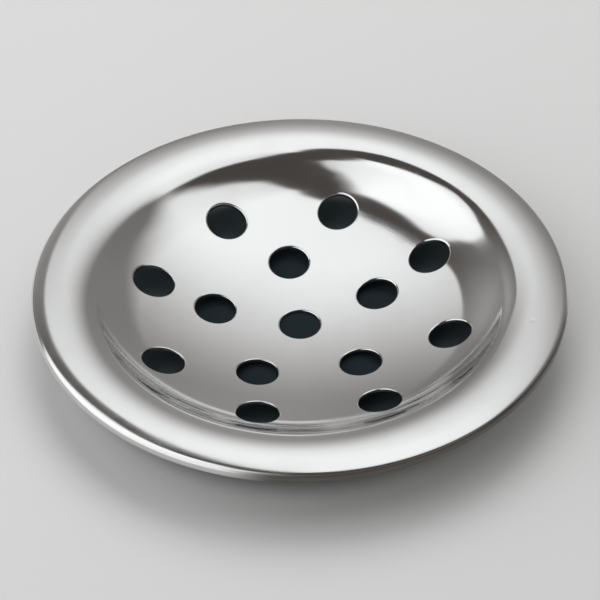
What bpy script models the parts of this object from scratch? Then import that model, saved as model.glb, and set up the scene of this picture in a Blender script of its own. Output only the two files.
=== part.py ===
"""Round stainless-steel drain grate, pressed from one sheet.

Frame: metres, +Z up. The origin is on the grate's axis at the lowest point of the dish, so the
grate stands on z = 0. The first hole of the inner ring lies on +Y.

The sheet is drawn as the outline of its upper face, a chain of tangent arcs from the turned-down
edge over the crown, round the bend and down the hollow flank to the dished floor. The lower face
is the same outline one sheet thickness away, and the two together are spun about the axis.
"""

from math import asin, atan2, cos, pi, radians, sin, sqrt

import bmesh
import bpy
from mathutils import Matrix, Vector

# Sheet and overall size
OUTER_DIAMETER = 0.127
SHEET_THICKNESS = 0.0008

# Rim: a broad crown, highest at its crest, rolled down to a short upright lip
CREST_TO_EDGE = 0.0066
CROWN_OUTER_RADIUS = 0.024
CROWN_INNER_RADIUS = 0.0151
CROWN_INNER_SLOPE = radians(27)
EDGE_ROLL_RADIUS = 0.00155
LIP_HEIGHT = 0.0006

# Flank between the rim and the floor: hollow, and steepest where it meets the bend
BEND_RADIUS = 0.008
FLANK_SLOPE = radians(44)
FLANK_RADIUS = 0.026

# Floor: part of a sphere, measured on its upper face
DISH_RADIUS = 0.1215

# Drain holes, pierced straight down through the floor and the foot of the flank
HOLE_DIAMETER = 0.010
HOLE_TO_BEND = 0.00635
INNER_RING_SHARE = 0.567
INNER_RING_COUNT = 5
OUTER_RING_COUNT = 8
RINGS_START = radians(90)
CUT_OVERRUN = 0.002

# Facets of the round stretches
AROUND = 72
HOLE_SIDES = 28
FLOOR_STEPS = 6
FLANK_STEPS = 5
BEND_STEPS = 3
CROWN_STEPS = 4
ROLL_STEPS = 4

SHARP_ANGLE = radians(30)

# Polished stainless steel
STEEL_COLOUR = (0.62, 0.61, 0.59, 1.0)
STEEL_ROUGHNESS = 0.12


def clear_scene():
    """Remove every object that the scene starts with."""
    for scene_object in list(bpy.data.objects):
        bpy.data.objects.remove(scene_object, do_unlink=True)


def upward_normal(slope):
    """Unit normal of the upper face, as (radial, vertical), where it rises outward at slope."""
    return Vector((-sin(slope), cos(slope)))


def arc(centre, radius, slopes, steps):
    """Points (place, slope) along an arc whose slope runs from slopes[0] to slopes[1].

    A positive radius is convex seen from above, as the crown is, and a negative one is hollow.
    """
    first, last = slopes
    points = []
    for step in range(steps + 1):
        slope = first + (last - first) * step / steps
        points.append((centre + upward_normal(slope) * radius, slope))
    return points


def upper_face():
    """Points (place, slope) of the upper face, from the lip's lower end to the middle hole.

    Heights are measured from the crest here; sheet_outline() sets them on z = 0.
    """
    outer_radius = OUTER_DIAMETER / 2
    crest_radius = outer_radius - CREST_TO_EDGE

    # The roll is tangent to the crown inside it and upright at the outer radius.
    roll_reach = CREST_TO_EDGE - EDGE_ROLL_RADIUS
    roll_slope = -asin(roll_reach / (CROWN_OUTER_RADIUS - EDGE_ROLL_RADIUS))
    crown_outer_centre = Vector((crest_radius, -CROWN_OUTER_RADIUS))
    roll_joint = crown_outer_centre + upward_normal(roll_slope) * CROWN_OUTER_RADIUS
    roll_centre = roll_joint - upward_normal(roll_slope) * EDGE_ROLL_RADIUS
    roll = arc(roll_centre, EDGE_ROLL_RADIUS, (-pi / 2, roll_slope), ROLL_STEPS)
    lip_end = roll[0][0] - Vector((0, LIP_HEIGHT))

    crown_outer = arc(crown_outer_centre, CROWN_OUTER_RADIUS, (roll_slope, 0), CROWN_STEPS)
    crown_inner_centre = Vector((crest_radius, -CROWN_INNER_RADIUS))
    crown_inner = arc(crown_inner_centre, CROWN_INNER_RADIUS, (0, CROWN_INNER_SLOPE), CROWN_STEPS)

    bend_centre = crown_inner[-1][0] - upward_normal(CROWN_INNER_SLOPE) * BEND_RADIUS
    bend = arc(bend_centre, BEND_RADIUS, (CROWN_INNER_SLOPE, FLANK_SLOPE), BEND_STEPS)

    flank_centre = bend[-1][0] + upward_normal(FLANK_SLOPE) * FLANK_RADIUS

    # The floor's sphere has its centre on the axis and touches the flank from outside.
    centre_rise = sqrt((DISH_RADIUS - FLANK_RADIUS) ** 2 - flank_centre.x ** 2)
    dish_centre = Vector((0, flank_centre.y + centre_rise))
    floor_slope = atan2(flank_centre.x, centre_rise)
    flank = arc(flank_centre, -FLANK_RADIUS, (FLANK_SLOPE, floor_slope), FLANK_STEPS)

    middle_slope = asin(HOLE_DIAMETER / 2 / DISH_RADIUS)
    floor = arc(dish_centre, -DISH_RADIUS, (floor_slope, middle_slope), FLOOR_STEPS)

    rim = [(lip_end, -pi / 2)] + roll + crown_outer[1:] + crown_inner[1:]
    return rim + bend[1:] + flank[1:] + floor[1:]


def bend_foot_radius():
    """Radius at which the flank meets the bend."""
    return upper_face()[-1 - FLOOR_STEPS - FLANK_STEPS][0].x


def sheet_outline():
    """Closed outline of the sheet, as (radius, height), with its lowest point on z = 0."""
    upper = upper_face()
    lower = [(place - upward_normal(slope) * SHEET_THICKNESS) for place, slope in upper]

    # The middle hole is cut straight down, so both faces end at its radius.
    lower[-1].x = HOLE_DIAMETER / 2
    outline = [place for place, slope in upper] + lower[::-1]
    lowest = min(place.y for place in outline)
    return [(place.x, place.y - lowest) for place in outline]


def hole_places():
    """Centres of the thirteen holes round the middle one, as (x, y)."""
    outer_ring_radius = bend_foot_radius() - HOLE_TO_BEND - HOLE_DIAMETER / 2
    inner_ring_radius = outer_ring_radius * INNER_RING_SHARE
    half_pitch = pi / OUTER_RING_COUNT
    rings = [
        (inner_ring_radius, INNER_RING_COUNT, RINGS_START),
        (outer_ring_radius, OUTER_RING_COUNT, RINGS_START + half_pitch),
    ]
    places = []
    for ring_radius, count, start in rings:
        for index in range(count):
            angle = start + 2 * pi * index / count
            places.append((ring_radius * cos(angle), ring_radius * sin(angle)))
    return places


def stainless_steel():
    """Material of polished stainless-steel sheet."""
    material = bpy.data.materials.new("polished_stainless_steel")
    material.use_nodes = True
    shader = material.node_tree.nodes["Principled BSDF"]
    shader.inputs["Base Color"].default_value = STEEL_COLOUR
    shader.inputs["Metallic"].default_value = 1.0
    shader.inputs["Roughness"].default_value = STEEL_ROUGHNESS
    return material


def add_object(name, shape):
    """Turn a bmesh into an object of the scene."""
    mesh = bpy.data.meshes.new(name)
    shape.to_mesh(mesh)
    shape.free()
    scene_object = bpy.data.objects.new(name, mesh)
    bpy.context.scene.collection.objects.link(scene_object)
    return scene_object


def spun_sheet():
    """The pressing before its two rings of holes are pierced."""
    shape = bmesh.new()
    corners = [shape.verts.new((radius, 0, height)) for radius, height in sheet_outline()]
    edges = [shape.edges.new((corners[index - 1], corners[index])) for index in range(len(corners))]
    bmesh.ops.spin(
        shape, geom=corners + edges, cent=(0, 0, 0), axis=(0, 0, 1),
        angle=2 * pi, steps=AROUND, use_merge=True,
    )
    bmesh.ops.recalc_face_normals(shape, faces=shape.faces)
    return shape


def hole_punches():
    """One upright round punch for each hole of the two rings."""
    top = max(height for radius, height in sheet_outline())
    shape = bmesh.new()
    for x, y in hole_places():
        bmesh.ops.create_cone(
            shape, cap_ends=True, segments=HOLE_SIDES,
            radius1=HOLE_DIAMETER / 2, radius2=HOLE_DIAMETER / 2, depth=top + 2 * CUT_OVERRUN,
            matrix=Matrix.Translation((x, y, top / 2)),
        )
    return shape


def grate():
    """The whole grate: the spun sheet with its rings of holes pierced."""
    pressing = add_object("grate", spun_sheet())
    pressing.data.materials.append(stainless_steel())
    pressing.data.shade_smooth()
    pressing.data.set_sharp_from_angle(angle=SHARP_ANGLE)

    punches = add_object("hole_punches", hole_punches())
    punches.hide_render = True
    punches.display_type = 'WIRE'

    pierce = pressing.modifiers.new("pierced_holes", 'BOOLEAN')
    pierce.operation = 'DIFFERENCE'
    pierce.solver = 'EXACT'
    pierce.object = punches
    return pressing


clear_scene()
grate()
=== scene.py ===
"""Drain grate pressed from one sheet of polished stainless steel, on a plain floor in a light tent.

Frame: metres, +Z up, the grate's axis on Z and the lowest point of its dish on z = 0.

The sheet is made as a press shop makes it. A flat round blank is pierced with fourteen holes,
whose upper edges are die-rolled, and the blank is then pressed to its section: a dished floor, a
hollow flank, a tight bend, a broad crown, an edge roll and a short lip.
"""

import math

import bmesh
import bpy
from mathutils import Matrix, Vector


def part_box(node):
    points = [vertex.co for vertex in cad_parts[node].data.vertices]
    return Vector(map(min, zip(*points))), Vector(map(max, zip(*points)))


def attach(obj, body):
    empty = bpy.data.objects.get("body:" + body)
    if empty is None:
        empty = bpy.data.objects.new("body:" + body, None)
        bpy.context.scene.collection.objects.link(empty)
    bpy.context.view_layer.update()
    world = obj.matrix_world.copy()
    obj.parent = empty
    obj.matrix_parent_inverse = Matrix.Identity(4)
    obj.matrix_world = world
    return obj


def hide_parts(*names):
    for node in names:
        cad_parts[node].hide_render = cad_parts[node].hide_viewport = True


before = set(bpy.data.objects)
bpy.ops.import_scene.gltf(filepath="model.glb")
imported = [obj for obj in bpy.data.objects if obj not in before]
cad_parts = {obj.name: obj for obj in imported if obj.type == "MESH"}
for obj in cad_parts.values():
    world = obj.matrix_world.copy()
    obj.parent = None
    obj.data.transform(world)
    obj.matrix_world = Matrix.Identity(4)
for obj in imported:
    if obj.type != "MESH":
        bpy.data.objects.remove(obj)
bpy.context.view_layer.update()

MM = 0.001
DEG = math.pi / 180

# Overall size, read from the frame
GRATE_LOW, GRATE_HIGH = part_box("grate")
OUTER_RADIUS = (GRATE_HIGH[0] - GRATE_LOW[0]) / 2
CREST_HEIGHT = GRATE_HIGH[2]

# Section of the sheet, on its upper face, as the part is drawn
SHEET_THICKNESS = 0.8 * MM
CREST_TO_EDGE = 6.6 * MM
CROWN_OUTER_RADIUS = 24 * MM
CROWN_INNER_RADIUS = 15.1 * MM
CROWN_INNER_SLOPE = 27 * DEG
EDGE_ROLL_RADIUS = 1.55 * MM
LIP_HEIGHT = 0.6 * MM
BEND_RADIUS = 8 * MM
FLANK_SLOPE = 44 * DEG
FLANK_RADIUS = 26 * MM
DISH_RADIUS = 121.5 * MM

# Holes
HOLE_DIAMETER = 10 * MM
HOLE_TO_BEND = 6.35 * MM
INNER_RING_SHARE = 0.567
INNER_RING_COUNT = 5
OUTER_RING_COUNT = 8
RINGS_START = 90 * DEG
PUNCH_OVERRUN = 0.5 * MM

# Die roll, the rounded upper edge that a punch leaves: its width, and its slope at either end
DIE_ROLL = 0.3 * MM
DIE_ROLL_EDGE = 45 * DEG
DIE_ROLL_BRIM = 10 * DEG

# The sheet is pressed upright as far as this past the holes, and is square to its face after that
UPRIGHT_MARGIN = 0.7 * MM
SQUARED_RUN = 3.5 * MM

# How finely the blank and the punches are divided
BLANK_AROUND = 240
BLANK_RINGS = 130
PUNCH_AROUND = 64
PUNCH_ROWS = 8
# Points of the pierced blank that lie closer than this are one
SLIVER = 0.002 * MM

# The upward part of a facet's normal tells walls from faces and the die roll from the flat face
WALL_FACET = 0.04
FLAT_FACET = 0.995
EDGE_STRIP = 0.05 * MM

# Steel: its bare colour, where it is handled, and a painted dark reflection in brown on one side of
# the edge roll and lip
CLEAN_STEEL = (0.664, 0.660, 0.654, 1)
HANDLED_STEEL = (0.640, 0.632, 0.620, 1)
PAINTED_REFLECTION_BROWN = (0.115, 0.104, 0.096, 1)

# Buffing lines to a metre outwards, and how fast they change along the way
BUFFING_LINES = 4000
BUFFING_DRIFT = 60
WAVE_SIZE = 12 * MM
SMUDGE_SIZE = 14 * MM
SPECK_SIZE = 1.1 * MM
SCUFF_SCALE = 3.0

# Noise of each mark, as (detail, roughness), and where on it the mark begins and is full
LINES_NOISE = (3.0, 0.6)
WAVES_NOISE = (1.0, 0.4)
SMUDGES_NOISE, SMUDGES_SHOW = (4.0, 0.6), (0.45, 0.75)
SPECKS_NOISE, SPECKS_SHOW = (2.0, 0.5), (0.70, 0.80)
SCUFFS_NOISE, SCUFFS_SHOW = (2.0, 0.5), (0.5, 0.8)

# How far each mark turns the colour from clean to handled
SMUDGES_TINT = 0.7
SCUFFS_TINT = 0.5
SPECKS_TINT = 0.8

# Roughness of the polish, and what each mark adds to it
POLISH = 0.045
LINES_ROUGH = 0.05
SMUDGES_ROUGH = 0.06
SCUFFS_ROUGH = 0.06
SPECKS_ROUGH = 0.08
MISSED_ROUGH = 0.032
WORN_ROUGH = 0.08
PAINTED_REFLECTION_ROUGH = 0.2

# Depths in the relief of the polish, and the share of the lines that the missed flank lacks
LINE_DEPTH = 0.002 * MM
WAVE_DEPTH = 0.006 * MM
SPECK_DEPTH = 0.002 * MM
LINES_MISSED = 0.6

# Trace of polishing dust, which shows only where the sheet is seen at a glancing angle
DUST = 0.18
DUST_ROUGH = 0.3

# Small dings: (x, y, radius)
DINGS = (
    (4.1 * MM, -58.9 * MM, 1.1 * MM),
    (7.9 * MM, -58.8 * MM, 1.2 * MM),
    (7.6 * MM, -60.2 * MM, 0.8 * MM),
    (51.5 * MM, -22.1 * MM, 0.9 * MM),
)
DING_DEPTH = 0.022 * MM

# Painted dark reflection on one side of the edge roll and lip: the middle of the arc, half its
# length, and its fade
PAINTED_REFLECTION_SIDE = -62 * DEG
PAINTED_REFLECTION_WITHIN = 46 * DEG
PAINTED_REFLECTION_FADE = 6 * DEG
# Heights over the lip's upper end, and shares of the outer radius, between which the painted brown
# fades
PAINTED_REFLECTION_UP_TO = (0.9 * MM, 1.35 * MM)
PAINTED_REFLECTION_FROM = (0.97, 0.985)
# Share of the painted brown, and what the lines add to it
PAINTED_REFLECTION_SHARE = 0.92
PAINTED_REFLECTION_LINES = 0.08

# Rubbed in handling: as far as this below the crest and inside the edge, and the wider worn ring
CREST_RUBBED = 0.5 * MM
EDGE_RUBBED = 2 * MM
EDGE_WORN = (4.2 * MM, 1.8 * MM)
# Missed by the mop: outwards from the floor's end, and up to past the foot and top of the bend
MISSED_FROM = (-1 * MM, 2 * MM)
MISSED_PAST_FOOT = 0.5 * MM
MISSED_PAST_TOP = 1.5 * MM

# Camera, from the fourteen holes and the outline in the photograph
LENS = 124.9
SENSOR = 36
CAMERA_DISTANCE = 503.1 * MM
CAMERA_ELEVATION = 42.87 * DEG
CAMERA_HEADING = 82.9 * DEG
CAMERA_ROLL = -0.45 * DEG
CAMERA_SHIFT = 0.0406
CAMERA_CLIP = 10 * MM

# Stage
TENT_RADIUS = 1.0
TENT_AROUND = 64
TENT_ROWS = 24
PALE_FLOOR = (0.72, 0.72, 0.71, 1)
FLOOR_ROUGH = 0.9

# Painted shade on the floor under the dish, seen through the holes and under the rim: (radius,
# radius) of its fades, and its colours
PAINTED_SHADE_INNER = (22 * MM, 36 * MM)
PAINTED_SHADE_OUTER = (47 * MM, 58 * MM)
PAINTED_SHADE_DEEP = (0.018, 0.025, 0.029, 1)
PAINTED_SHADE_SLATE = (0.056, 0.070, 0.077, 1)

# Overhead lamp
LAMP_SIZE = 0.6
LAMP_POWER = 2.0
LAMP_AHEAD = 0.45
LAMP_HEIGHT = 0.75

# Light tent, seen from the grate: turns are degrees to the right of straight ahead of the camera,
# heights are degrees over the floor, and light 1 shows as white.
DARK_CLOTH = 0.074
SCREEN_LIGHT = 0.42
# Half the width of the soft edges, and what it gains and loses with the height at the sheet's left
SHEET_SOFT_LEFT = 1.6
SHEET_SOFT_RIGHT = 9.2
SHEET_CRISPER = (50, 57)
SHEET_SOFTER = (70, 82)
SHEET_GAIN = 6
SOFTBOX_SOFT_TOP = 2.6
SOFTBOX_SOFT_SIDE = 1.2
# Turns and heights between which the cloth ahead, the screen and the softbox begin or end
CLOTHS_MEET = (-14, 6)
CLOTH_LEFT_END = (-80, -66)
CLOTH_RIGHT_END = (88, 104)
CLOTH_TOP = (60, 80)
CLOTH_SHADED_BELOW = (50, 30)
SCREEN_RIGHT_END = (98, 116)
SCREEN_LEFT_END = (-172, -164)
SCREEN_TOP = (30, 42)
SOFTBOX_LEFT_END = (-170, -160)
# Share of the sheet's fade that is straight, where the rest is eased
SHEET_STRAIGHT = 0.4
# Tints of dim, middling and full light, and the light between which they change over
WARM = (1.10, 1.0, 0.935, 1)
NEUTRAL = (1.02, 1.0, 0.982, 1)
COOL = (0.987, 1.0, 1.015, 1)
WARM_TO_NEUTRAL = (0.07, 0.24)
NEUTRAL_TO_COOL = (0.3, 1.1)
# Cloth ahead at the left: (height, light), and (turn, share) of it
LEFT_CLOTH = (
    (0, 0.231), (8, 0.297), (18, 0.355), (26, 0.313), (34, 0.23), (42, 0.143), (50, 0.094),
    (58, 0.078), (70, 0.074),
)
LEFT_CLOTH_SIDE = (
    (-62, 0.54), (-50, 0.68), (-40, 1), (-30, 1.17), (-20, 0.85), (-10, 0.76),
)
# Cloth ahead at the right: (turn, light)
RIGHT_CLOTH = (
    (0, 0.393), (15, 0.309), (30, 0.268), (45, 0.263), (60, 0.239), (80, 0.217), (95, 0.141),
)
# Lit sheet: (turn, height) of its dark foot and of its full light, (turn, light), and
# (height, turn) of its left and right sides
SHEET_FOOT = (
    (-25, 6.9), (-10, 14), (10, 19.8), (30, 29), (45, 33.4), (60, 36.2), (75, 40.2), (95, 35.2),
)
SHEET_FULL = (
    (-25, 58.7), (-10, 57.4), (10, 62.2), (30, 62.5), (45, 63.9), (60, 61.5), (75, 56.2),
    (95, 46.4),
)
SHEET_LIGHT = (
    (-30, 1.269), (0, 1.319), (30, 1.348), (60, 1.263), (90, 1.177), (120, 1.09),
)
SHEET_LEFT = (
    (0, -8), (15, -10.5), (20, -17), (25, -20), (30, -21.3), (33, -23), (36, -25), (39, -27.3),
    (42, -29.5), (46, -31), (50, -31), (54, -30.1), (57, -29.6), (60, -29.6), (63, -29.1),
    (66, -27.3), (70, -25), (75, -23.5), (79, -19.5), (82, -16), (85, -9.5), (87, -3),
)
SHEET_RIGHT = (
    (35, 90.7), (40, 96.9), (45, 95.9), (50, 102.1), (55, 106.2), (60, 110.1), (65, 118.7),
    (70, 126.9), (75, 136.5), (80, 137.6), (87, 130.8),
)
# Softbox: (turn, height) of its top, (height, turn) of its right side, (turn, light)
SOFTBOX_TOP = (
    (-165, 56.9), (-155, 62.5), (-145, 64.5), (-135, 68.5), (-125, 70.6), (-115, 72.9),
    (-105, 74.3), (-95, 75.4), (-85, 73), (-75, 69.8), (-65, 66.2), (-55, 61.4), (-48, 58.4),
)
SOFTBOX_RIGHT = (
    (10, -69.6), (20, -63.6), (25, -62.1), (30, -60.3), (35, -59.1), (40, -58.1), (43.5, -56.4),
    (46.5, -53.6), (49.5, -50.8), (52.5, -48.5), (60, -46.4),
)
SOFTBOX_LIGHT = (
    (-160, 0.931), (-145, 1.213), (-130, 1.309), (-115, 1.434), (-95, 1.504), (-75, 1.477),
    (-65, 1.382), (-50, 1.164),
)


class Reading:
    """A value on a wire of a node tree, with the arithmetic of a plain number."""

    def __init__(self, wiring, socket):
        self.wiring = wiring
        self.socket = socket

    def __add__(self, other):
        return self.wiring.maths('ADD', self, other)

    def __radd__(self, other):
        return self.wiring.maths('ADD', other, self)

    def __sub__(self, other):
        return self.wiring.maths('SUBTRACT', self, other)

    def __rsub__(self, other):
        return self.wiring.maths('SUBTRACT', other, self)

    def __mul__(self, other):
        return self.wiring.maths('MULTIPLY', self, other)

    def __rmul__(self, other):
        return self.wiring.maths('MULTIPLY', other, self)

    def __truediv__(self, other):
        return self.wiring.maths('DIVIDE', self, other)

    def __rtruediv__(self, other):
        return self.wiring.maths('DIVIDE', other, self)

    def __gt__(self, other):
        return self.wiring.maths('GREATER_THAN', self, other)

    def __lt__(self, other):
        return self.wiring.maths('LESS_THAN', self, other)


class Wiring:
    """A node tree being wired up."""

    def __init__(self, tree):
        self.tree = tree

    def node(self, kind, settings=(), **sockets):
        """Add a node: first its settings, then the values or links of its sockets.

        A socket goes by its name, with _ for a space, or by n and its number, such as n0.
        """
        node = self.tree.nodes.new(kind)
        for name, value in dict(settings).items():
            setattr(node, name, value)
        for name, value in sockets.items():
            key = int(name[1:]) if name[1:].isdigit() else name.replace("_", " ")
            self.feed(node.inputs[key], value)
        return node

    def feed(self, socket, value):
        """Link a reading, a list of readings or a socket into an input, or set a plain value."""
        if isinstance(value, list):
            for reading in value:
                self.feed(socket, reading)
        elif isinstance(value, Reading):
            self.tree.links.new(value.socket, socket)
        elif isinstance(value, bpy.types.NodeSocket):
            self.tree.links.new(value, socket)
        else:
            socket.default_value = value

    def read(self, kind, output, settings=(), **sockets):
        """Add a node and give the reading of one of its outputs."""
        return Reading(self, self.node(kind, settings, **sockets).outputs[output])

    def maths(self, operation, *values):
        """A Math node."""
        sockets = {"n%d" % index: value for index, value in enumerate(values)}
        return self.read("ShaderNodeMath", 0, {"operation": operation}, **sockets)

    def length(self, x, y):
        """Length of a level line that goes x one way and y square to it."""
        return self.maths('SQRT', x * x + y * y)

    def held(self, value, low, high):
        """A reading held between two limits."""
        return self.maths('MINIMUM', self.maths('MAXIMUM', value, low), high)

    def ease(self, value, low, high):
        """A smooth step from 0 at low to 1 at high."""
        return self.read("ShaderNodeMapRange", 0, {"interpolation_type": 'SMOOTHSTEP'},
                         Value=value, From_Min=low, From_Max=high)

    def curve(self, value, points):
        """A smooth line through (value, result) points, level beyond its ends."""
        begin, finish = points[0][0], points[-1][0]
        lowest = min(result for place, result in points)
        highest = max(result for place, result in points)
        node = self.tree.nodes.new("ShaderNodeFloatCurve")
        line = node.mapping.curves[0].points
        while len(line) < len(points):
            line.new(0.5, 0.5)
        for knot, (place, result) in zip(line, points):
            along = (place - begin) / (finish - begin)
            knot.location = (along, (result - lowest) / (highest - lowest))
            knot.handle_type = 'AUTO_CLAMPED'
        node.mapping.update()
        self.feed(node.inputs["Value"], self.held((value - begin) / (finish - begin), 0, 1))
        return lowest + Reading(self, node.outputs[0]) * (highest - lowest)

    def noise(self, vector, scale, detail, roughness):
        """Noise from 0 to 1 at a vector."""
        return self.read(
            "ShaderNodeTexNoise", 0, Vector=vector, Scale=scale, Detail=detail, Roughness=roughness,
        )

    def blend(self, share, low, high):
        """A number that goes from low to high as share goes from 0 to 1."""
        return low + share * (high - low)

    def parts(self, vector):
        """The x, y and z of a vector."""
        node = self.node("ShaderNodeSeparateXYZ", Vector=vector)
        return [Reading(self, output) for output in node.outputs]

    def vector(self, x, y, z):
        """A vector of three readings or numbers."""
        return self.read("ShaderNodeCombineXYZ", 0, X=x, Y=y, Z=z)

    def mix_colours(self, share, first, second):
        """A Mix node that goes from the first colour to the second as share goes from 0 to 1."""
        return self.read(
            "ShaderNodeMix", 2, {"data_type": 'RGBA'}, n0=share, n6=first, n7=second,
        )


# ---- The section that the press gives the sheet

CREST_RADIUS = OUTER_RADIUS - CREST_TO_EDGE
ROLL_REACH = CREST_TO_EDGE - EDGE_ROLL_RADIUS
ROLL_SLOPE = -math.asin(ROLL_REACH / (CROWN_OUTER_RADIUS - EDGE_ROLL_RADIUS))
BEND_TOP_RADIUS = CREST_RADIUS - CROWN_INNER_RADIUS * math.sin(CROWN_INNER_SLOPE)
BEND_RUN = BEND_RADIUS * (math.sin(FLANK_SLOPE) - math.sin(CROWN_INNER_SLOPE))
BEND_FOOT_RADIUS = BEND_TOP_RADIUS - BEND_RUN
FLANK_CENTRE = BEND_FOOT_RADIUS - FLANK_RADIUS * math.sin(FLANK_SLOPE)
FLOOR_SLOPE = math.asin(FLANK_CENTRE / (DISH_RADIUS - FLANK_RADIUS))
FLOOR_RADIUS = DISH_RADIUS * math.sin(FLOOR_SLOPE)
OUTER_RING_RADIUS = BEND_FOOT_RADIUS - HOLE_TO_BEND - HOLE_DIAMETER / 2
INNER_RING_RADIUS = OUTER_RING_RADIUS * INNER_RING_SHARE

# The blank is pierced as if seen from above, so inside this radius it is pressed straight down.
PIERCED_RADIUS = OUTER_RING_RADIUS + HOLE_DIAMETER / 2 + UPRIGHT_MARGIN
PIERCED_SLOPE = math.asin((PIERCED_RADIUS - FLANK_CENTRE) / FLANK_RADIUS)


def outer_stretches():
    """The stretches outside the pierced middle, going outwards.

    Each is (run, bend per metre, slope at its start). A hollow stretch bends upwards and a convex
    one down.
    """
    lip_slope = -90 * DEG
    arcs = [
        (FLANK_RADIUS, PIERCED_SLOPE, FLANK_SLOPE),
        (-BEND_RADIUS, FLANK_SLOPE, CROWN_INNER_SLOPE),
        (-CROWN_INNER_RADIUS, CROWN_INNER_SLOPE, 0),
        (-CROWN_OUTER_RADIUS, 0, ROLL_SLOPE),
        (-EDGE_ROLL_RADIUS, ROLL_SLOPE, lip_slope),
    ]
    stretches = [((finish - begin) * radius, 1 / radius, begin) for radius, begin, finish in arcs]
    return stretches + [(LIP_HEIGHT, 0, lip_slope)]


STRETCHES = outer_stretches()
BLANK_RADIUS = PIERCED_RADIUS + sum(run for run, bend, begin in STRETCHES)


def rise_to_crest():
    """Height of the crest over the dish's lowest point, on the upper face."""
    rise = DISH_RADIUS * (1 - math.cos(FLOOR_SLOPE))
    rise += FLANK_RADIUS * (math.cos(FLOOR_SLOPE) - math.cos(PIERCED_SLOPE))
    for run, bend, begin in STRETCHES:
        if begin > 0:
            rise += (math.cos(begin) - math.cos(begin + bend * run)) / bend
    return rise


DISH_HEIGHT = CREST_HEIGHT - rise_to_crest()
CROWN_DROP = CROWN_OUTER_RADIUS * (1 - math.cos(ROLL_SLOPE))
LIP_TOP = CREST_HEIGHT - CROWN_DROP - EDGE_ROLL_RADIUS * math.cos(ROLL_SLOPE)


def pressed_section(wiring, run):
    """Radius, height and slope of the upper face where the flat blank has the radius run."""
    # The pierced middle is pressed straight down: the floor, and then the foot of the flank.
    radius = wiring.maths('MINIMUM', run, PIERCED_RADIUS)
    dished = wiring.maths('MINIMUM', run, FLOOR_RADIUS)
    height = (DISH_HEIGHT + DISH_RADIUS) - wiring.maths('SQRT', DISH_RADIUS ** 2 - dished * dished)
    slope = wiring.maths('ARCSINE', dished / DISH_RADIUS)
    flanked = wiring.held(run, FLOOR_RADIUS, PIERCED_RADIUS) - FLANK_CENTRE
    drop = wiring.maths('SQRT', FLANK_RADIUS ** 2 - flanked * flanked)
    height = height + (FLANK_RADIUS * math.cos(FLOOR_SLOPE) - drop)
    slope = slope + wiring.maths('ARCSINE', flanked / FLANK_RADIUS) - FLOOR_SLOPE

    # Past it the sheet keeps its length along each stretch.
    passed = PIERCED_RADIUS
    for length, bend, begin in STRETCHES:
        gone = wiring.held(run - passed, 0, length)
        if bend:
            finish = begin + gone * bend
            radius = radius + (wiring.maths('SINE', finish) - math.sin(begin)) / bend
            height = height + (math.cos(begin) - wiring.maths('COSINE', finish)) / bend
            slope = slope + gone * bend
        else:
            radius = radius + gone * math.cos(begin)
            height = height + gone * math.sin(begin)
        passed += length
    return radius, height, slope


# Named inputs of the tree: (name, kind of socket, value)
PRESS_SIZES = (
    ("Sheet thickness", 'NodeSocketFloat', SHEET_THICKNESS),
    ("Hole radius", 'NodeSocketFloat', HOLE_DIAMETER / 2),
    ("Die roll", 'NodeSocketFloat', DIE_ROLL),
    ("Inner ring radius", 'NodeSocketFloat', INNER_RING_RADIUS),
    ("Inner ring holes", 'NodeSocketInt', INNER_RING_COUNT),
    ("Outer ring radius", 'NodeSocketFloat', OUTER_RING_RADIUS),
    ("Outer ring holes", 'NodeSocketInt', OUTER_RING_COUNT),
)


def flat_blank(wiring, thickness):
    """The round blank, flat, with its upper face on z = 0."""
    blank = wiring.read(
        "GeometryNodeMeshCylinder", "Mesh", {"fill_type": 'TRIANGLE_FAN'},
        Vertices=BLANK_AROUND, Side_Segments=1, Fill_Segments=BLANK_RINGS,
        Radius=BLANK_RADIUS, Depth=thickness,
    )
    sunk = wiring.vector(0, 0, thickness * -0.5)
    return wiring.read("GeometryNodeSetPosition", "Geometry", Geometry=blank, Offset=sunk)


def round_punch(wiring, place, thickness, hole_radius, bow):
    """One punch, standing on z = 0, whose flare has the radius bow.

    Rows 0 and 1 of its points are the straight shank, and the rows above flare over the die roll.
    """
    x, y, z = wiring.parts(place)
    punch = wiring.read(
        "GeometryNodeMeshCylinder", "Mesh", {"fill_type": 'NGON'},
        Vertices=PUNCH_AROUND, Side_Segments=PUNCH_ROWS, Fill_Segments=1,
        Radius=1.0, Depth=float(PUNCH_ROWS),
    )
    row = z + PUNCH_ROWS / 2
    climb = wiring.held((row - 1) / (PUNCH_ROWS - 2), 0, 1)
    slant = wiring.blend(climb, DIE_ROLL_EDGE, DIE_ROLL_BRIM)
    out = hole_radius + bow * (math.sin(DIE_ROLL_EDGE) - wiring.maths('SINE', slant))
    shank = (row < 0.5) * (thickness + PUNCH_OVERRUN - bow * (1 - math.cos(DIE_ROLL_EDGE)))
    head = (row > PUNCH_ROWS - 0.5) * PUNCH_OVERRUN
    height = bow * (wiring.maths('COSINE', slant) - 1) - shank + head
    shaped = wiring.vector(x * out, y * out, height)
    return wiring.read("GeometryNodeSetPosition", "Geometry", Geometry=punch, Position=shaped)


def strike_places(wiring, given):
    """The points where the punches strike: the middle and the two rings."""
    places = [wiring.read("GeometryNodeMeshLine", "Mesh", Count=1)]
    half_pitch = math.pi / OUTER_RING_COUNT
    for name, start in (("Inner ring", RINGS_START), ("Outer ring", RINGS_START + half_pitch)):
        circle = wiring.read(
            "GeometryNodeMeshCircle", "Mesh",
            Vertices=given[name + " holes"], Radius=given[name + " radius"],
        )
        places.append(wiring.read(
            "GeometryNodeTransform", "Geometry", Geometry=circle, Rotation=(0, 0, start),
        ))
    return wiring.read("GeometryNodeJoinGeometry", "Geometry", Geometry=places)


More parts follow.
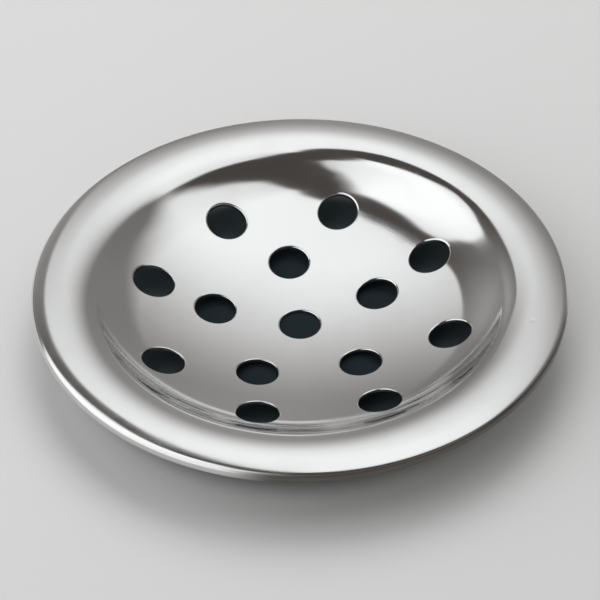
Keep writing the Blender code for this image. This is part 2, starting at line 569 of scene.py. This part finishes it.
def pierced_blank(wiring, blank, punch, strikes):
    """The blank with a punch driven through it at each strike."""
    struck = wiring.read(
        "GeometryNodeInstanceOnPoints", "Instances", Points=strikes, Instance=punch,
    )
    punches = wiring.read("GeometryNodeRealizeInstances", "Geometry", Geometry=struck)
    boolean = wiring.node(
        "GeometryNodeMeshBoolean", {"operation": 'DIFFERENCE', "solver": 'EXACT'},
        n0=blank, n1=punches,
    )
    return wiring.read(
        "GeometryNodeMergeByDistance", "Geometry",
        Geometry=boolean.outputs["Mesh"], Distance=SLIVER,
    )


def true_normal(wiring, place, strikes, hole_radius, bow, outward, pressed_normal):
    """Normal of the round surface itself at a corner, so that the mirror polish shows no facets.

    outward is the level direction away from the axis, as (x, y), and pressed_normal is the normal
    of the pressed upper face, as (outward part, upward part).
    """
    x, y, z = wiring.parts(place)
    outward_x, outward_y = outward
    normal_out, normal_up = pressed_normal
    nearest = wiring.node(
        "GeometryNodeProximity", {"target_element": 'POINTS'},
        Geometry=strikes, Sample_Position=place,
    )
    hole_x, hole_y = wiring.parts(nearest.outputs["Position"])[:2]
    away_x = x - hole_x
    away_y = y - hole_y
    away = wiring.length(away_x, away_y)

    # Which part of the flat blank the facet belongs to
    facet = wiring.read(
        "GeometryNodeFieldOnDomain", 0, {"domain": 'FACE', "data_type": 'FLOAT_VECTOR'},
        Value=wiring.read("GeometryNodeInputNormal", "Normal"),
    )
    facet_up = wiring.parts(facet)[2]
    on_top = facet_up > WALL_FACET
    beneath = facet_up < -WALL_FACET
    wall = (1 - on_top) * (1 - beneath)
    at_edge = (wiring.length(x, y) > BLANK_RADIUS - EDGE_STRIP) * wall
    in_hole = wall * (1 - at_edge)
    rolled = on_top * (facet_up < FLAT_FACET)

    # Walls and die roll lean towards the hole, and the rest follows the pressed face or the edge.
    tilt = wiring.held((hole_radius - away) / bow + math.sin(DIE_ROLL_EDGE), 0, 1)
    tilt = tilt * rolled + in_hole
    lean_x = away_x / away * tilt * -1
    lean_y = away_y / away * tilt * -1
    upright = wiring.maths('SQRT', wiring.maths('MAXIMUM', 1 - tilt * tilt, 0))
    face_up = upright * on_top - beneath
    out_part = face_up * normal_out + normal_up * at_edge
    up_part = face_up * normal_up - normal_out * at_edge
    normal = wiring.vector(
        lean_x + outward_x * out_part, lean_y + outward_y * out_part, up_part,
    )
    return wiring.read("ShaderNodeVectorMath", 0, {"operation": 'NORMALIZE'}, n0=normal)


def pressing_tree():
    """Geometry Nodes: blank, punches, pierced blank, pressed sheet."""
    tree = bpy.data.node_groups.new("blank_pierce_press", 'GeometryNodeTree')
    wiring = Wiring(tree)
    tree.interface.new_socket("Geometry", in_out='INPUT', socket_type='NodeSocketGeometry')
    for name, kind, value in PRESS_SIZES:
        socket = tree.interface.new_socket(name, in_out='INPUT', socket_type=kind)
        socket.default_value = value
    tree.interface.new_socket("Polish", in_out='INPUT', socket_type='NodeSocketMaterial')
    tree.interface.new_socket("Geometry", in_out='OUTPUT', socket_type='NodeSocketGeometry')
    given = tree.nodes.new("NodeGroupInput").outputs
    thickness = Reading(wiring, given["Sheet thickness"])
    hole_radius = Reading(wiring, given["Hole radius"])
    die_roll = Reading(wiring, given["Die roll"])
    bow = die_roll / (math.sin(DIE_ROLL_EDGE) - math.sin(DIE_ROLL_BRIM))
    place = wiring.read("GeometryNodeInputPosition", 0)
    x, y, z = wiring.parts(place)

    blank = flat_blank(wiring, thickness)
    punch = round_punch(wiring, place, thickness, hole_radius, bow)
    strikes = strike_places(wiring, given)
    pierced = pierced_blank(wiring, blank, punch, strikes)

    # The section, read at each point's radius on the flat blank
    blank_radius = wiring.length(x, y)
    radius, rise, slope = pressed_section(wiring, blank_radius)
    outward = (x / blank_radius, y / blank_radius)
    normal_out = wiring.maths('SINE', slope) * -1
    normal_up = wiring.maths('COSINE', slope)

    # Holes stay upright; past them the sheet comes to keep its thickness square to its face.
    square = wiring.ease(blank_radius, PIERCED_RADIUS, PIERCED_RADIUS + SQUARED_RUN)
    upright = 1 / wiring.maths('MAXIMUM', normal_up, math.cos(FLANK_SLOPE))
    pressed_radius = radius + z * (normal_out * square)
    pressed_height = rise + z * wiring.blend(square, upright, normal_up)
    pressed = wiring.vector(
        outward[0] * pressed_radius, outward[1] * pressed_radius, pressed_height,
    )

    normal = true_normal(
        wiring, place, strikes, hole_radius, bow, outward, (normal_out, normal_up),
    )
    marked = wiring.read(
        "GeometryNodeStoreNamedAttribute", "Geometry",
        {"data_type": 'FLOAT_VECTOR', "domain": 'CORNER'},
        Geometry=pierced, Name="true_normal", Value=normal,
    )
    sheet = wiring.read(
        "GeometryNodeSetPosition", "Geometry", Geometry=marked, Position=pressed,
    )
    smooth = wiring.read(
        "GeometryNodeSetShadeSmooth", "Geometry", Geometry=sheet, Shade_Smooth=True,
    )
    real = wiring.read("GeometryNodeRealizeInstances", "Geometry", Geometry=smooth)
    finished = wiring.read(
        "GeometryNodeSetMaterial", "Geometry", Geometry=real, Material=given["Polish"],
    )
    output = tree.nodes.new("NodeGroupOutput")
    wiring.feed(output.inputs[0], finished)
    return tree


def set_input(modifier, name, value):
    """Set an input of a Geometry Nodes modifier, found by its name, through its identifier."""
    for item in modifier.node_group.interface.items_tree:
        if item.in_out == 'INPUT' and item.name == name:
            modifier[item.identifier] = value


def pressed_grate(polish):
    """The finished sheet as one plain mesh."""
    host = bpy.data.objects.new("press", bpy.data.meshes.new("press"))
    bpy.context.scene.collection.objects.link(host)
    modifier = host.modifiers.new("press", 'NODES')
    modifier.node_group = pressing_tree()
    for name, kind, value in PRESS_SIZES:
        set_input(modifier, name, value)
    set_input(modifier, "Polish", polish)
    depsgraph = bpy.context.evaluated_depsgraph_get()
    mesh = bpy.data.meshes.new_from_object(
        host.evaluated_get(depsgraph), preserve_all_data_layers=True, depsgraph=depsgraph,
    )
    host.modifiers.remove(modifier)
    bpy.data.objects.remove(host, do_unlink=True)

    mesh.name = "pressed_grate"
    stored = mesh.attributes["true_normal"].data
    normals = [Vector(item.vector) for item in stored]
    mesh.attributes.remove(mesh.attributes["true_normal"])
    mesh.normals_split_custom_set(normals)
    piece = bpy.data.objects.new("pressed_grate", mesh)
    bpy.context.scene.collection.objects.link(piece)
    return piece


def polished_steel():
    """Polished stainless steel with the fine marks of spinning, buffing and handling, and a painted
    dark reflection on one side of its edge.
    """
    material = bpy.data.materials.new("polished_stainless")
    material.use_nodes = True
    wiring = Wiring(material.node_tree)
    shader = material.node_tree.nodes["Principled BSDF"]
    place = wiring.read("ShaderNodeTexCoord", "Object")
    x, y, z = wiring.parts(place)
    reach = wiring.length(x, y)

    # Buffing lines run round the axis, finer than the eye can count, and come and go on the way.
    along = wiring.vector(x * BUFFING_DRIFT, y * BUFFING_DRIFT, reach * BUFFING_LINES)
    lines = wiring.noise(along, 1.0, *LINES_NOISE)
    # Slow waves left in the sheet by the press, which bend the reflections a little.
    waves = wiring.noise(place, 1 / WAVE_SIZE, *WAVES_NOISE)
    # Smudges and the cloudy marks of the polishing mop.
    smudges = wiring.ease(wiring.noise(place, 1 / SMUDGE_SIZE, *SMUDGES_NOISE), *SMUDGES_SHOW)
    specks = wiring.ease(wiring.noise(place, 1 / SPECK_SIZE, *SPECKS_NOISE), *SPECKS_SHOW)

    # Wear: the crest and the edge roll are rubbed in handling, and the rim is duller towards them.
    rubbed = wiring.ease(z, CREST_HEIGHT - CREST_RUBBED, CREST_HEIGHT)
    rubbed = rubbed + wiring.ease(reach, OUTER_RADIUS - EDGE_RUBBED, OUTER_RADIUS)
    scratches = wiring.ease(wiring.noise(along, SCUFF_SCALE, *SCUFFS_NOISE), *SCUFFS_SHOW)
    scuffs = wiring.held(rubbed, 0, 1) * scratches
    worn = wiring.ease(reach, OUTER_RADIUS - EDGE_WORN[0], OUTER_RADIUS - EDGE_WORN[1])

    # The mop reaches the steep flank least.
    missed = wiring.ease(reach, FLOOR_RADIUS + MISSED_FROM[0], FLOOR_RADIUS + MISSED_FROM[1])
    reached = wiring.ease(
        reach, BEND_FOOT_RADIUS + MISSED_PAST_FOOT, BEND_TOP_RADIUS + MISSED_PAST_TOP,
    )
    missed = missed * (1 - reached)

    # Painted dark reflection: on one side the roll and the lip are painted dull brown, and are
    # rougher there.
    reflection_side = (x * math.cos(PAINTED_REFLECTION_SIDE) + y * math.sin(PAINTED_REFLECTION_SIDE)) / reach
    outside = math.cos(PAINTED_REFLECTION_WITHIN + PAINTED_REFLECTION_FADE)
    inside = math.cos(PAINTED_REFLECTION_WITHIN - PAINTED_REFLECTION_FADE)
    reflection_side = wiring.ease(reflection_side, outside, inside)
    low = 1 - wiring.ease(z, LIP_TOP + PAINTED_REFLECTION_UP_TO[0], LIP_TOP + PAINTED_REFLECTION_UP_TO[1])
    painted_reflection = low * wiring.ease(reach / OUTER_RADIUS, *PAINTED_REFLECTION_FROM) * reflection_side

    marked = smudges * SMUDGES_TINT + scuffs * SCUFFS_TINT + specks * SPECKS_TINT
    finish = wiring.mix_colours(wiring.held(marked, 0, 1), CLEAN_STEEL, HANDLED_STEEL)
    # Painted dark reflection mixed over the steel's colour.
    finish = wiring.mix_colours(painted_reflection * (PAINTED_REFLECTION_SHARE + lines * PAINTED_REFLECTION_LINES), finish, PAINTED_REFLECTION_BROWN)
    wiring.feed(shader.inputs["Base Color"], finish)

    rough = POLISH + lines * LINES_ROUGH + smudges * SMUDGES_ROUGH + scuffs * SCUFFS_ROUGH
    rough = rough + specks * SPECKS_ROUGH + missed * MISSED_ROUGH + worn * WORN_ROUGH
    wiring.feed(shader.inputs["Roughness"], rough + painted_reflection * PAINTED_REFLECTION_ROUGH)
    shader.inputs["Metallic"].default_value = 1.0
    shader.inputs["Sheen Weight"].default_value = DUST
    shader.inputs["Sheen Roughness"].default_value = DUST_ROUGH

    height = lines * ((1 - missed * LINES_MISSED) * LINE_DEPTH)
    height = height + waves * WAVE_DEPTH + specks * SPECK_DEPTH
    for ding_x, ding_y, size in DINGS:
        off = wiring.length(x - ding_x, y - ding_y)
        height = height - (1 - wiring.ease(off, 0, size)) * DING_DEPTH
    relief = wiring.read("ShaderNodeBump", "Normal", Strength=1.0, Distance=1.0, Height=height)
    wiring.feed(shader.inputs["Normal"], relief)
    return material


# ---- Stage, light and camera

def heading():
    """Level directions ahead of the camera and to its right."""
    ahead = Vector((math.cos(CAMERA_HEADING), math.sin(CAMERA_HEADING), 0))
    right = Vector((ahead.y, -ahead.x, 0))
    return ahead, right


def tent_material():
    """Inside of the light tent: a softbox, a lit sheet over and behind the grate, and dim cloth."""
    material = bpy.data.materials.new("light_tent")
    material.use_nodes = True
    tree = material.node_tree
    tree.nodes.clear()
    wiring = Wiring(tree)
    place = wiring.read("ShaderNodeTexCoord", "Object")
    ahead, right = heading()
    x, y, z = wiring.parts(place)
    forward = x * ahead.x + y * ahead.y
    across = x * right.x + y * right.y
    level = wiring.length(forward, across)
    turn = wiring.maths('ARCTAN2', across, forward) * (1 / DEG)
    height = wiring.maths('ARCTAN2', z, level) * (1 / DEG)

    # Dim cloth in front of the camera
    left_cloth = wiring.curve(height, LEFT_CLOTH)
    shade = (1 - wiring.curve(turn, LEFT_CLOTH_SIDE)) * wiring.ease(height, *CLOTH_SHADED_BELOW)
    left_cloth = left_cloth * (1 - shade)
    right_cloth = wiring.curve(turn, RIGHT_CLOTH)
    cloth = left_cloth + wiring.ease(turn, *CLOTHS_MEET) * (right_cloth - left_cloth)
    hung = wiring.ease(turn, *CLOTH_LEFT_END) * (1 - wiring.ease(turn, *CLOTH_RIGHT_END))
    hung = hung * (1 - wiring.ease(height, *CLOTH_TOP))
    light = DARK_CLOTH + hung * (cloth - DARK_CLOTH)

    # Low screen round the back, behind the camera
    behind = wiring.ease(turn, *SCREEN_RIGHT_END) + (1 - wiring.ease(turn, *SCREEN_LEFT_END))
    screen = behind * (1 - wiring.ease(height, *SCREEN_TOP))
    light = light + screen * (SCREEN_LIGHT - light)

    # Lit sheet, which fades towards its foot
    foot = wiring.curve(turn, SHEET_FOOT)
    climb = wiring.held((height - foot) / (wiring.curve(turn, SHEET_FULL) - foot), 0, 1)
    climb = climb * SHEET_STRAIGHT + wiring.ease(climb, 0, 1) * (1 - SHEET_STRAIGHT)
    soft = SHEET_SOFT_LEFT - wiring.ease(height, *SHEET_CRISPER)
    soft = soft + wiring.ease(height, *SHEET_SOFTER) * SHEET_GAIN
    sheet = wiring.ease((turn - wiring.curve(height, SHEET_LEFT)) / soft, -1, 1)
    past_right = turn - wiring.curve(height, SHEET_RIGHT)
    sheet = sheet * (1 - wiring.ease(past_right, -SHEET_SOFT_RIGHT, SHEET_SOFT_RIGHT))
    light = light + sheet * climb * (wiring.curve(turn, SHEET_LIGHT) - light)

    # Softbox at the left
    over_top = height - wiring.curve(turn, SOFTBOX_TOP)
    past_side = turn - wiring.curve(height, SOFTBOX_RIGHT)
    box = 1 - wiring.ease(over_top, -SOFTBOX_SOFT_TOP, SOFTBOX_SOFT_TOP)
    box = box * (1 - wiring.ease(past_side, -SOFTBOX_SOFT_SIDE, SOFTBOX_SOFT_SIDE))
    box = box * wiring.ease(turn, *SOFTBOX_LEFT_END)
    light = light + box * (wiring.curve(turn, SOFTBOX_LIGHT) - light)

    tint = wiring.mix_colours(wiring.ease(light, *WARM_TO_NEUTRAL), WARM, NEUTRAL)
    tint = wiring.mix_colours(wiring.ease(light, *NEUTRAL_TO_COOL), tint, COOL)
    emission = wiring.read("ShaderNodeEmission", 0, Color=tint, Strength=light)
    wiring.node("ShaderNodeOutputMaterial", Surface=emission)
    return material


def tent():
    """Half a globe round the grate, open below."""
    shape = bmesh.new()
    bmesh.ops.create_uvsphere(
        shape, u_segments=TENT_AROUND, v_segments=2 * TENT_ROWS, radius=TENT_RADIUS,
    )
    below = [vertex for vertex in shape.verts if vertex.co.z < -MM]
    bmesh.ops.delete(shape, geom=below, context='VERTS')
    bmesh.ops.reverse_faces(shape, faces=shape.faces)
    for face in shape.faces:
        face.smooth = True
    mesh = bpy.data.meshes.new("light_tent")
    shape.to_mesh(mesh)
    shape.free()
    mesh.materials.append(tent_material())
    dome = bpy.data.objects.new("light_tent", mesh)
    bpy.context.scene.collection.objects.link(dome)


def floor_material():
    """Plain pale floor, with painted shade under the dish."""
    material = bpy.data.materials.new("pale_floor")
    material.use_nodes = True
    wiring = Wiring(material.node_tree)
    shader = material.node_tree.nodes["Principled BSDF"]
    place = wiring.read("ShaderNodeTexCoord", "Object")
    x, y, z = wiring.parts(place)
    reach = wiring.length(x, y)
    # Painted shade under the dish: darkest in the middle, fading to the pale floor under the rim.
    painted_shade = wiring.mix_colours(wiring.ease(reach, *PAINTED_SHADE_INNER), PAINTED_SHADE_DEEP, PAINTED_SHADE_SLATE)
    colour = wiring.mix_colours(wiring.ease(reach, *PAINTED_SHADE_OUTER), painted_shade, PALE_FLOOR)
    wiring.feed(shader.inputs["Base Color"], colour)
    shader.inputs["Roughness"].default_value = FLOOR_ROUGH
    shader.inputs["Specular IOR Level"].default_value = 0.0
    return material


def floor():
    """Round floor as wide as the tent."""
    shape = bmesh.new()
    bmesh.ops.create_circle(shape, cap_ends=True, segments=TENT_AROUND, radius=TENT_RADIUS)
    mesh = bpy.data.meshes.new("floor")
    shape.to_mesh(mesh)
    shape.free()
    mesh.materials.append(floor_material())
    ground = bpy.data.objects.new("floor", mesh)
    bpy.context.scene.collection.objects.link(ground)


def overhead_lamp():
    """Soft lamp overhead that lights the floor and stays out of the reflections."""
    lamp = bpy.data.lights.new("overhead_lamp", 'AREA')
    lamp.shape = 'DISK'
    lamp.size = LAMP_SIZE
    lamp.energy = LAMP_POWER
    holder = bpy.data.objects.new("overhead_lamp", lamp)
    ahead, right = heading()
    holder.location = ahead * LAMP_AHEAD + Vector((0, 0, LAMP_HEIGHT))
    holder.rotation_euler = holder.location.to_track_quat('Z', 'Y').to_euler()
    holder.visible_glossy = False
    bpy.context.scene.collection.objects.link(holder)


def camera():
    """Camera at the photograph's place."""
    ahead, right = heading()
    forward = ahead * math.cos(CAMERA_ELEVATION) - Vector((0, 0, math.sin(CAMERA_ELEVATION)))
    up = right.cross(forward)
    aim = Vector((0, 0, DISH_HEIGHT))
    upright = Matrix((right, up, -forward)).transposed().to_4x4()
    turned = upright @ Matrix.Rotation(CAMERA_ROLL, 4, 'Z')
    data = bpy.data.cameras.new("camera")
    data.lens = LENS
    data.sensor_width = SENSOR
    data.shift_y = CAMERA_SHIFT
    data.clip_start = CAMERA_CLIP
    view = bpy.data.objects.new("camera", data)
    view.matrix_world = Matrix.Translation(aim - forward * CAMERA_DISTANCE) @ turned
    bpy.context.scene.collection.objects.link(view)
    bpy.context.scene.camera = view


def main():
    piece = pressed_grate(polished_steel())
    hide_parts("grate")
    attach(piece, "root")
    tent()
    floor()
    overhead_lamp()
    camera()
    bpy.context.scene.view_settings.view_transform = 'Standard'


main()
